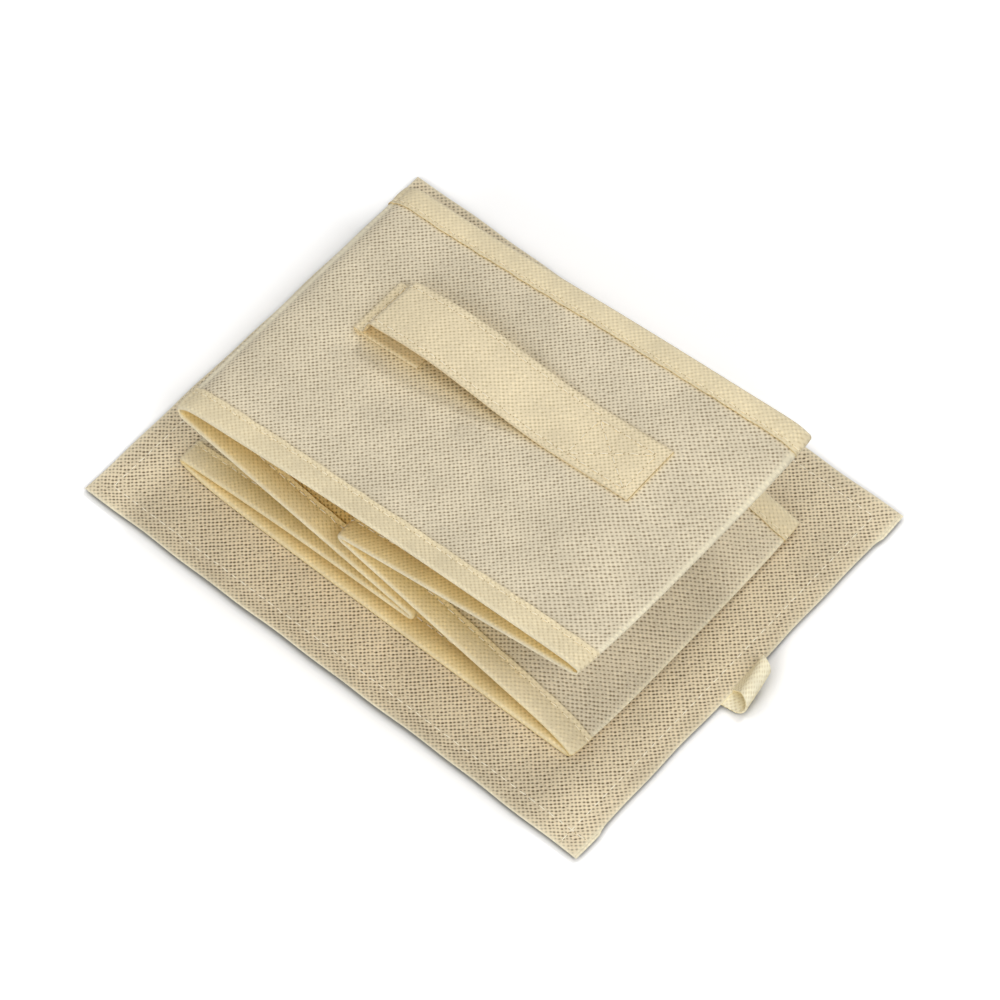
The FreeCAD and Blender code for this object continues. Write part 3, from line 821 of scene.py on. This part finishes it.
half_turn = math.pi
quarter = math.pi / 2
fold_middles = {
    "back_left": half_turn + slopes["left_lower"] / 2,
    "back_right": slopes["right_lower"] / 2,
    "front_left": half_turn + (slopes["front"] + slopes["left_upper"]) / 2,
    "front_right": (slopes["front"] + slopes["right_upper"]) / 2,
}
foot_length = 22 * MM
foot_run, right_run = parted(run("right_lower", 1, True), foot_length)
right_foot = joined(
    turn(
        back_right,
        fold_middles["back_right"],
        quarter + slopes["right_lower"],
        1,
        run_on=(0, run_ons["right_lower"]),
        heading=slopes["right_lower"],
        slide=back_right_slide,
    ),
    foot_run,
)
walls = {
    "back": joined(
        turn(back_left, fold_middles["back_left"], 3 * quarter, 1),
        run("back", -1, False),
        turn(back_right, -quarter, fold_middles["back_right"], 1, slide=back_right_slide),
    ),
    "left": joined(
        turn(back_left, fold_middles["back_left"], quarter + slopes["left_lower"], 1),
        run("left_lower", 1, False),
        turn(left_nose, -quarter + slopes["left_lower"], quarter + slopes["left_upper"], -1),
        run("left_upper", -1, True),
        turn(front_left, 3 * quarter + slopes["left_upper"], fold_middles["front_left"], 1),
    ),
    "front": joined(
        turn(
            front_left, fold_middles["front_left"], quarter + slopes["front"], 1, after=bulge_at("front", 0)
        ),
        run("front", 1, False),
        turn(
            front_right,
            quarter + slopes["front"],
            fold_middles["front_right"],
            1,
            before=bulge_at("front", -1),
            run_on=(run_ons["front"], 0),
            heading=slopes["front"],
        ),
    ),
    "right_foot": right_foot,
    "right": joined(
        right_run,
        turn(right_nose, 3 * quarter + slopes["right_lower"], quarter + slopes["right_upper"], -1),
        run("right_upper", -1, False),
        turn(front_right, -quarter + slopes["right_upper"], fold_middles["front_right"], 1),
        start=right_foot["along"][-1],
    ),
}


def over_nose(nose, lower, upper):
    """Two places beside a nose, a fold radius from it, square to the line that halves its panels."""
    slope = (slopes[lower] + slopes[upper]) / 2
    across = fold_radius * np.array([-math.sin(slope), math.cos(slope)])
    return nose - across, nose + across


# What carries each wall: one body, or two bodies and the places where it leaves one and joins the other
foot_turn_half = 4 * MM
foot_turn = foot_turn_half * towards(slopes["right_lower"])
carriers = {
    "back": ("back_wall",),
    "front": ("front_wall",),
    "left": ("left_lower", "left_upper", *over_nose(left_nose, "left_lower", "left_upper")),
    "right_foot": ("back_wall", "right_lower", back_right + foot_turn, back_right - foot_turn),
    "right": ("right_lower", "right_upper", *over_nose(right_nose, "right_lower", "right_upper")),
}
wall_panels = {
    "back": ("back",),
    "left": ("left_lower", "left_upper"),
    "front": ("front",),
    "right_foot": ("right_lower",),
    "right": ("right_lower", "right_upper"),
}
wall_folds = {
    "back": ("back_left", "back_right"),
    "left": ("left", "front_left"),
    "front": ("front_right",),
    "right_foot": (),
    "right": ("right",),
}
# Which ends of a wall are folds, where the other end only joins the next piece
fold_ends = {"right_foot": (0,), "right": (-1,)}


def carry(piece, wall):
    """Let a piece move with its wall where one body carries it, and only bake its place into its points
    where two bodies do.

    A piece of the front wall also gets a mesh of its own.
    """
    if len(carriers[wall]) == 1:
        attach(piece, carriers[wall][0])
        if wall == "front":
            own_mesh(piece)
        return
    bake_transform(piece)


def lift_over(wall, along, across):
    """How far a wall's middle surface stands out from its middle line, at places along and across it.

    Straight from the near rim's bulge to the far rim's, plus a curl that dies away from the near rim.
    """
    line = walls[wall]
    near, far, curl = (np.interp(along, line["along"], line[key]) for key in bulge_curves)
    share = (across - near_rim) / (far_rim - near_rim)
    return near * (1 - share) + far * share + curl * np.exp((near_rim - across) / curl_length)


def spaced(flat, across):
    """Points from their places x and z in the plane across the folds, and their places y along the folds."""
    return np.stack(np.broadcast_arrays(flat[..., 0], across, flat[..., 1]), axis=-1)


def wall_points(wall, across, offset):
    """Points of a wall at places across it and offsets out from its middle line, with its bulge added.

    across is an array over the wall's length and width, or over its width alone, and offset is another such
    array or one number. Cloth that runs on past a fold is held back at the near rim, and less at the far
    rim, by the eighth power of the way.
    """
    line = walls[wall]
    share = (across - near_rim) / (far_rim - near_rim)
    lift = offset + lift_over(wall, line["along"][:, None], across)
    loose = 1 - near_hold * np.clip(1 - share, 0, 1) ** 8 - far_hold * np.clip(share, 0, 1) ** 8
    run_on = line["run_on"][:, None] * loose
    flat = line["line"][:, None] + line["out"][:, None] * lift[..., None]
    flat = flat + line["heading"][:, None] * run_on[..., None]
    return spaced(flat, across + line["slide"][:, None] * np.clip(1 - share, 0, 1) ** 2)


def wall_sheet(name, wall, low, high, material):
    """A ply of a wall between two offsets from its middle, from inside one rim tape to inside the other."""
    across = np.linspace(near_rim + tape_thick, far_rim - tape_thick, across_steps + 1)
    along = walls[wall]["along"]
    hand = 1 if wall in ("left", "front") else -1
    cloth = cloth_places(hand * along, across)
    top = wall_points(wall, across, high)
    under = wall_points(wall, across, low)
    from_ends = [np.abs(along - along[end]) for end in fold_ends.get(wall, (0, -1))]
    from_fold = np.min(from_ends, axis=0) - quarter * fold_radius
    # The folds are marked for wear and a painted highlight, which fade away from them
    worn = fold_worn * np.exp(-np.clip(from_fold, 0, None) / fold_wear_and_highlight)[:, None]
    piece = add_ply(name, top, under, cloth, material, worn)
    carry(piece, wall)
    return piece


def bowed_board(part, wall):
    """A bulging panel's board, bent with its wall, as far from the folds and rims as the flat one."""
    line = walls[wall]
    rows = np.flatnonzero(line["panel"] == list(panels).index(part))
    along = line["along"][rows]
    rows = rows[(along > along[0] + board_margin) & (along < along[-1] - board_margin)]
    low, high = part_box(f"{part}_board")
    across = np.linspace(low[1], high[1], across_steps + 1)
    cloth = cloth_places(line["along"][rows], across)
    top = wall_points(wall, across, wall_board / 2)[rows]
    under = wall_points(wall, across, -wall_board / 2)[rows]
    board = add_ply(f"{part}_bowed_board", top, under, cloth, card)
    if len(carriers[wall]) == 1:
        carry(board, wall)
    else:
        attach(board, part)
    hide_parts(f"{part}_board")


wall_ground = (0.73, 0.64, 0.47)
wall_pits = (0.27, 0.205, 0.115)
# The lining is the cover's cloth given a warmer, darker colour: painted shade for the light that bounces
# inside the folds
lining_shaded_ground = (0.76, 0.61, 0.34)
lining_shaded_pits = (0.36, 0.25, 0.10)
cover_cloth = cloth_finish("cover_cloth", wall_ground, wall_pits, pit_size=0.33, relief=0.3 * MM, painted_gap_shade=0.6)
lining_shaded_cloth = cloth_finish(
    "lining_shaded_cloth", lining_shaded_ground, lining_shaded_pits, pit_size=0.31, relief=0.25 * MM, painted_gap_shade=1
)
for wall in walls:
    cover = wall_sheet(f"{wall}_wall_cover", wall, wall_board / 2, wall_face, cover_cloth)
    lining = wall_sheet(f"{wall}_wall_lining", wall, -wall_face, -wall_board / 2, lining_shaded_cloth)
    for part in wall_panels[wall]:
        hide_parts(f"{part}_cover")
        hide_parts(f"{part}_lining")
        if part in bulges:
            bowed_board(part, wall)
        for holder in frame["nodes"][f"{part}_board"].material_slots:
            holder.material = card
    for fold in wall_folds[wall]:
        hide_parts(f"{fold}_fold_cloth")

# Rim tapes
# A strip of plain non-woven cloth is folded over each rim of the walls and sewn through all the layers, 2 mm
# in from its edges. It puffs a little between the rim and the stitches, which draw it in.
tape_width = 11.4 * MM
tape_seam = 9.4 * MM
tape_pitch = 5.6 * MM
tape_stitch = 3.9 * MM
tape_thread = 0.45 * MM
tape_thread_sink = 0.08 * MM
tape_leg_steps = 22
tape_round_steps = 9
tape_puff = 0.3 * MM
tape_ripple = 0.45
tape_flare = 0.35 * MM
tape_dip = 0.16 * MM
tape_dip_width = 0.6 * MM
tape_wander = 0.3 * MM
tape_waves = (61 * MM, 23 * MM, 11 * MM)
wander_seeds = 50
# The fold of each tape round its rim is paled, as wear and as a painted highlight
rim_wear_and_highlight = 1.8 * MM
rim_worn = 0.45
tape_ground = (0.78, 0.67, 0.445)
tape_pits = (0.64, 0.52, 0.31)
tape_cloth = cloth_finish("tape_cloth", tape_ground, tape_pits, pit_size=0.3, relief=0.12 * MM, painted_gap_shade=1)
cream = (0.92, 0.84, 0.65)
cream_thread = thread_finish("cream_thread", cream)


def from_rim(rim, depth):
    """The place across a wall that lies so deep inside one of its rims."""
    return near_rim + depth if rim == "near" else far_rim - depth


def tape_points(wall, rim, level, seed):
    """Points of a rim tape at a level over its mid surface: a U profile carried along the wall's rim.

    The profile is a leg over the outer face, a half circle round the rim and a leg over the inner face. A
    leg rises in a sine arch between the rim and the stitches, dips at each stitch and flares past them, and
    its edge wanders by a slow wave.
    """
    along = walls[wall]["along"][:, None]
    radius = rim_half - tape_thick / 2 + level
    leg = np.linspace(tape_width, rim_half, tape_leg_steps)
    angle = np.linspace(quarter, -quarter, tape_round_steps)[1:-1]
    flat = np.ones(len(leg))
    depth = np.concatenate([leg, rim_half - radius * np.cos(angle), leg[::-1]])
    offset = radius * np.concatenate([flat, np.sin(angle), -flat])
    face = np.concatenate([flat, np.zeros(len(angle)), -flat])
    puff = np.where(depth < tape_seam, np.sin(np.pi * (depth - rim_half) / (tape_seam - rim_half)), 0)
    puff = np.clip(puff, 0, None) * tape_puff
    flare = np.where(depth > tape_seam, (depth - tape_seam) / (tape_width - tape_seam), 0) * tape_flare
    ripple = 1 + tape_ripple * smooth_wave(along, tape_waves, seed)
    pull = 0.5 + 0.5 * np.cos(2 * np.pi * along / tape_pitch)
    dip = tape_dip * np.exp(-(((depth - tape_seam) / tape_dip_width) ** 2)) * pull
    lift = face * (puff * ripple + flare - dip)
    wander = tape_wander * smooth_wave(along, tape_waves, seed + wander_seeds) * (depth / tape_width) ** 3
    return wall_points(wall, from_rim(rim, depth + wander), offset + lift)


def tape_seam_rings(wall, rim, face, seed):
    """Rings of the stitches along one leg of a rim tape."""
    across = np.array([from_rim(rim, tape_seam)])
    seam = wall_points(wall, across, face * (rim_half - tape_thread_sink))[:, 0]
    up = spaced(face * walls[wall]["out"], 0)
    return stitch_rings_along(seam, up, tape_pitch, tape_stitch, tape_thread, seed)


# The foot's tapes go on from the right wall's, so they wander alike
tape_seeds = {"back": 21, "left": 23, "front": 25, "right_foot": 27, "right": 27}
for wall in walls:
    along = walls[wall]["along"]
    thread_rings = []
    for seed, rim in enumerate(("near", "far"), tape_seeds[wall]):
        outer = tape_points(wall, rim, tape_thick / 2, seed)
        inner = tape_points(wall, rim, -tape_thick / 2, seed)
        girth = lengths_along(outer[0])
        cloth = cloth_places(along, girth)
        # The tape's fold round the rim is marked for wear and a painted highlight
        worn = rim_worn * np.exp(-(((girth - girth[-1] / 2) / rim_wear_and_highlight) ** 2))
        tape = add_ply(f"{wall}_{rim}_tape", outer, inner, cloth, tape_cloth, worn)
        carry(tape, wall)
        for part in wall_panels[wall]:
            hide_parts(f"{part}_rim_tapes")
        for fold in wall_folds[wall]:
            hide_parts(f"{fold}_fold_tapes")
        for face in (1, -1):
            thread_rings.append(tape_seam_rings(wall, rim, face, seed))
    rows = add_stitches(f"{wall}_tape_stitches", thread_rings, cream_thread)
    carry(rows, wall)

# Handle strap
# One strip of cloth folded double along its length. Its left end is turned under and sewn down, it rises
# from that seam in a steep shoulder and a low arch, and its right end is sewn flat with a crossed box.
strap_low, strap_high = np.array(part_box("handle_strap"))
strap_middle = (strap_low[1] + strap_high[1]) / 2
strap_width = strap_high[1] - strap_low[1]
strap_half = 0.6 * MM
strap_gap = 0.3 * MM
strap_left = 32.6 * MM
strap_patch = 35 * MM
strap_lift = strap_left + 4.4 * MM
strap_shoulder = 10.4 * MM
strap_shoulder_length = 7 * MM
strap_crest = 64 * MM
strap_rise = 11.5 * MM
strap_tilt = 1.4 * MM
strap_tilt_length = 40 * MM
strap_landing = 142.7 * MM
strap_right = 179.9 * MM
strap_drift = (-4.2 * MM, -2.7 * MM)
strap_inset = 3.2 * MM
groove_width = 0.45 * MM
groove_depth = 0.2 * MM
# An edge of two plies, from its top to its underside: how far out and how far up, in halves of the thickness
strap_edge = ((0.75, 0.7), (1.0, 0.35), (0.55, 0.0), (1.0, -0.35), (0.75, -0.7))
strap_under_steps = 40
strap_fold_steps = 10
strap_over_steps = 190
strap_face_steps = 33
strap_ground = (0.79, 0.675, 0.455)
strap_pits = (0.52, 0.42, 0.24)
strap_cloth = cloth_finish(
    "strap_cloth", strap_ground, strap_pits, pit_size=0.3, relief=0.14 * MM, painted_gap_shade=0.5
)
front_start, front_end, front_up, _ = panels["front"]
front_run = unit(front_end - front_start)


def strap_path():
    """The strap's middle line over the front wall's face: how far along the wall, and how high over it.

    It runs from the end of the turned-under patch, round the fold, up to the crest and down to the sewn end.
    """
    ply = 2 * strap_half + strap_gap
    fold = strap_left + strap_half + ply / 2
    under = np.linspace(strap_left + strap_patch, fold, strap_under_steps)
    angle = np.linspace(-quarter, -3 * quarter, strap_fold_steps)[1:-1]
    over = np.linspace(fold, strap_right, strap_over_steps)
    level = strap_half + ply
    shoulder = eased((over - strap_lift) / strap_shoulder_length)
    arch = eased((over - strap_lift) / (strap_crest - strap_lift))
    rise = level + (strap_shoulder - level) * shoulder + (strap_rise - strap_shoulder) * arch
    landed = eased((over - strap_crest) / (strap_landing - strap_crest))
    fall = strap_half + (strap_rise - strap_half) * (1 - landed)
    height = np.where(over < strap_crest, rise, fall)
    along = np.concatenate([under, fold + ply / 2 * np.cos(angle), over])
    round_up = strap_half + ply / 2 * (1 + np.sin(angle))
    up = np.concatenate([np.full(len(under), strap_half), round_up, height])
    return np.stack([along, up], axis=1)


def strap_section():
    """The strap's section: flat faces with a shallow groove inside each edge, and edges of two plies."""
    half = strap_width / 2
    face = np.linspace(-half + strap_half, half - strap_half, strap_face_steps)
    groove = np.exp(-(((np.abs(face) - half + strap_inset) / groove_width) ** 2))
    crown = strap_half - groove_depth * groove
    edge = np.array(strap_edge) * strap_half
    right = edge + np.array([half - strap_half, 0])
    left = edge[::-1] * np.array([-1, 1]) - np.array([half - strap_half, 0])
    top = np.stack([face, crown], axis=1)
    bottom = np.stack([face[::-1], -crown], axis=1)
    return np.concatenate([top, right, bottom, left])


def tilted(along, across):
    """How much higher the strap stands at its near edge, and lower at its far edge, just past the shoulder.

    The tilt eases in over the shoulder, dies away exponentially, and is in proportion to the way across.
    """
    past = along - strap_lift
    swell = eased(past / strap_shoulder_length) * np.exp(-np.clip(past, 0, None) / strap_tilt_length)
    return strap_tilt * swell * -across / (strap_width / 2)


def on_front(along, across, up):
    """Points over the front wall's bulging face, from places along it, across the strap and up from it.

    The strap lies a little askew, so its middle drifts evenly from one end to the other.
    """
    along, across, up = np.broadcast_arrays(along, across, up)
    drift = np.interp(along, (strap_left, strap_right), strap_drift)
    place = across + drift
    bulge = lift_over("front", walls["front"]["along"][turn_steps] + along, place)
    height = wall_face + bulge + up
    return spaced(front_start + height[..., None] * front_up + along[..., None] * front_run, place)


strap_line = strap_path()
strap_shape = strap_section()
strap_run = unit(np.gradient(strap_line, axis=0))
strap_normal = np.stack([-strap_run[:, 1], strap_run[:, 0]], axis=1)
strap_places = strap_line[:, None] + strap_normal[:, None] * strap_shape[None, :, 1:]
strap_over = (np.arange(len(strap_line)) > strap_under_steps)[:, None]
strap_tilts = strap_over * tilted(strap_places[..., 0], strap_shape[:, 0])
strap_up = strap_places[..., 1] + strap_tilts
strap_rings = on_front(strap_places[..., 0], strap_middle + strap_shape[:, 0], strap_up)
strap = add_tubes("strap_strip", strap_rings[None], strap_cloth)
carry(strap, "front")
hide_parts("handle_strap")

# Strap stitches
# The left end has one row across it, close to the fold, and a row runs along inside each edge of the arch.
# The right end has a box with both diagonals.
box_left = 145.6 * MM
box_right = 175.4 * MM
box_near = strap_low[1] + 3.3 * MM
box_far = strap_high[1] - 5.5 * MM
left_row = strap_left + 4.2 * MM
row_margin = 1 * MM
row_seed = 60
arch_seed = 71
arch_thread_sink = 0.15 * MM
strap_pitch = 5.6 * MM
strap_stitch = 4.2 * MM
strap_thread = 0.5 * MM
strap_top = 2 * strap_half
fold_top = 4 * strap_half + strap_gap
strap_rows = (
    ((left_row, strap_low[1] + row_margin), (left_row, strap_high[1] - row_margin), fold_top),
    ((box_left, box_near), (box_left, box_far), strap_top),
    ((box_right, box_near), (box_right, box_far), strap_top),
    ((box_left, box_near), (box_right, box_near), strap_top),
    ((box_left, box_far), (box_right, box_far), strap_top),
    ((box_left, box_near), (box_right, box_far), strap_top),
    ((box_left, box_far), (box_right, box_near), strap_top),
)
strap_sewing = (strap_pitch, strap_stitch, strap_thread)
strap_thread_rings = []
for seed, (start, end, height) in enumerate(strap_rows, row_seed):
    along, across = np.linspace(start, end, seam_points).T
    row = on_front(along, across, height)
    up = np.tile(spaced(front_up, 0), (seam_points, 1))
    strap_thread_rings.append(stitch_rings_along(row, up, *strap_sewing, seed))
arch = strap_over[:, 0] & (strap_line[:, 0] > left_row) & (strap_line[:, 0] < box_left)
arch_line = strap_line[arch] + strap_half * strap_normal[arch]
arch_up = spaced(strap_normal[arch, :1] * front_run + strap_normal[arch, 1:] * front_up, 0)
arch_edges = (strap_low[1] + strap_inset, strap_high[1] - strap_inset)
for seed, across in enumerate(arch_edges, arch_seed):
    tilt = tilted(arch_line[:, 0], across - strap_middle)
    row = on_front(arch_line[:, 0], across, arch_line[:, 1] + tilt - arch_thread_sink)
    strap_thread_rings.append(stitch_rings_along(row, arch_up, *strap_sewing, seed))
strap_stitches = add_stitches("strap_stitches", strap_thread_rings, cream_thread)
carry(strap_stitches, "front")

# Floor and light
# A white table and four soft lamps, the strongest to the right, in a dim white room. The camera, and
# anything that mirrors or lets light through, sees the table and the room as white, and the table still
# takes the bin's shadow. Near the bin, where ambient occlusion finds it hidden, the camera sees its colour
# painted darker: a painted contact shadow, deepest where the bin meets it.


def white_to_camera(tree):
    """1 for a ray from the camera, a mirror or glass, and 0 for light that bounces from dull surfaces."""
    path = add_node(tree, "LightPath", {}).outputs
    seen = add_math(tree, "MAXIMUM", path["Is Camera Ray"], path["Is Glossy Ray"])
    return add_math(tree, "MAXIMUM", seen, path["Is Transmission Ray"])


floor_half = 0.7
floor_dull = 0.8
floor_white = 1.3
contact_reach = 16 * MM
contact_depth = 0.35
contact_shade = 0.3
floor_mesh = bpy.data.meshes.new("floor")
floor_corners = [(x * floor_half, y * floor_half, 0) for x, y in ((-1, -1), (1, -1), (1, 1), (-1, 1))]
floor_mesh.from_pydata(floor_corners, [], [(0, 1, 2, 3)])
floor = bpy.data.objects.new("floor", floor_mesh)
scene.collection.objects.link(floor)
floor_paint, floor_tree, floor_shader = new_finish("floor_paint")
floor_open = add_node(floor_tree, "AmbientOcclusion", {"Distance": contact_reach}, samples=16).outputs["AO"]
# Painted contact shadow: the floor's colour for the camera darkens where ambient occlusion finds the bin
# close
painted_contact_shadow = add_range(floor_tree, floor_open, (contact_depth, 1), (contact_shade * floor_white, floor_white))
floor_shade = add_range(floor_tree, white_to_camera(floor_tree), (0, 1), (floor_dull, painted_contact_shadow))
set_inputs(floor_tree, floor_shader, {"Base Color": floor_shade, "Roughness": 1, "Specular IOR Level": 0})
floor_mesh.materials.append(floor_paint)

room_level = 0.08
world = bpy.data.worlds.new("room")
world.use_nodes = True
scene.world = world
room_tree = world.node_tree
white = (1, 1, 1, 1)
room_strength = add_range(room_tree, white_to_camera(room_tree), (0, 1), (room_level, 1))
set_inputs(room_tree, room_tree.nodes["Background"], {"Color": white, "Strength": room_strength})

# Each lamp's azimuth, elevation, width in metres, and share of the light on a white level floor
lamp_distance = 2.4
lamps = {
    "right_lamp": (76, 52, 1.4, 0.35),
    "front_lamp": (10, 34, 1.4, 0.25),
    "left_lamp": (-90, 55, 1.2, 0.15),
    "back_lamp": (180, 52, 0.5, 0.21),
}


def add_lamp(name, azimuth, elevation, width, share):
    """A round soft lamp aimed at the bin.

    A lamp of power P at distance d lights a level floor with P sin(elevation) / (pi d)^2 of white.
    """
    lamp = bpy.data.objects.new(name, bpy.data.lights.new(name, "AREA"))
    lamp.data.shape = "DISK"
    lamp.data.size = width
    lamp.data.energy = share * (math.pi * lamp_distance) ** 2 / math.sin(math.radians(elevation))
    aim(lamp, azimuth, elevation, lamp_distance, Vector((0, 0, 0)))


for name, values in lamps.items():
    add_lamp(name, *values)

scene.view_settings.view_transform = "Standard"
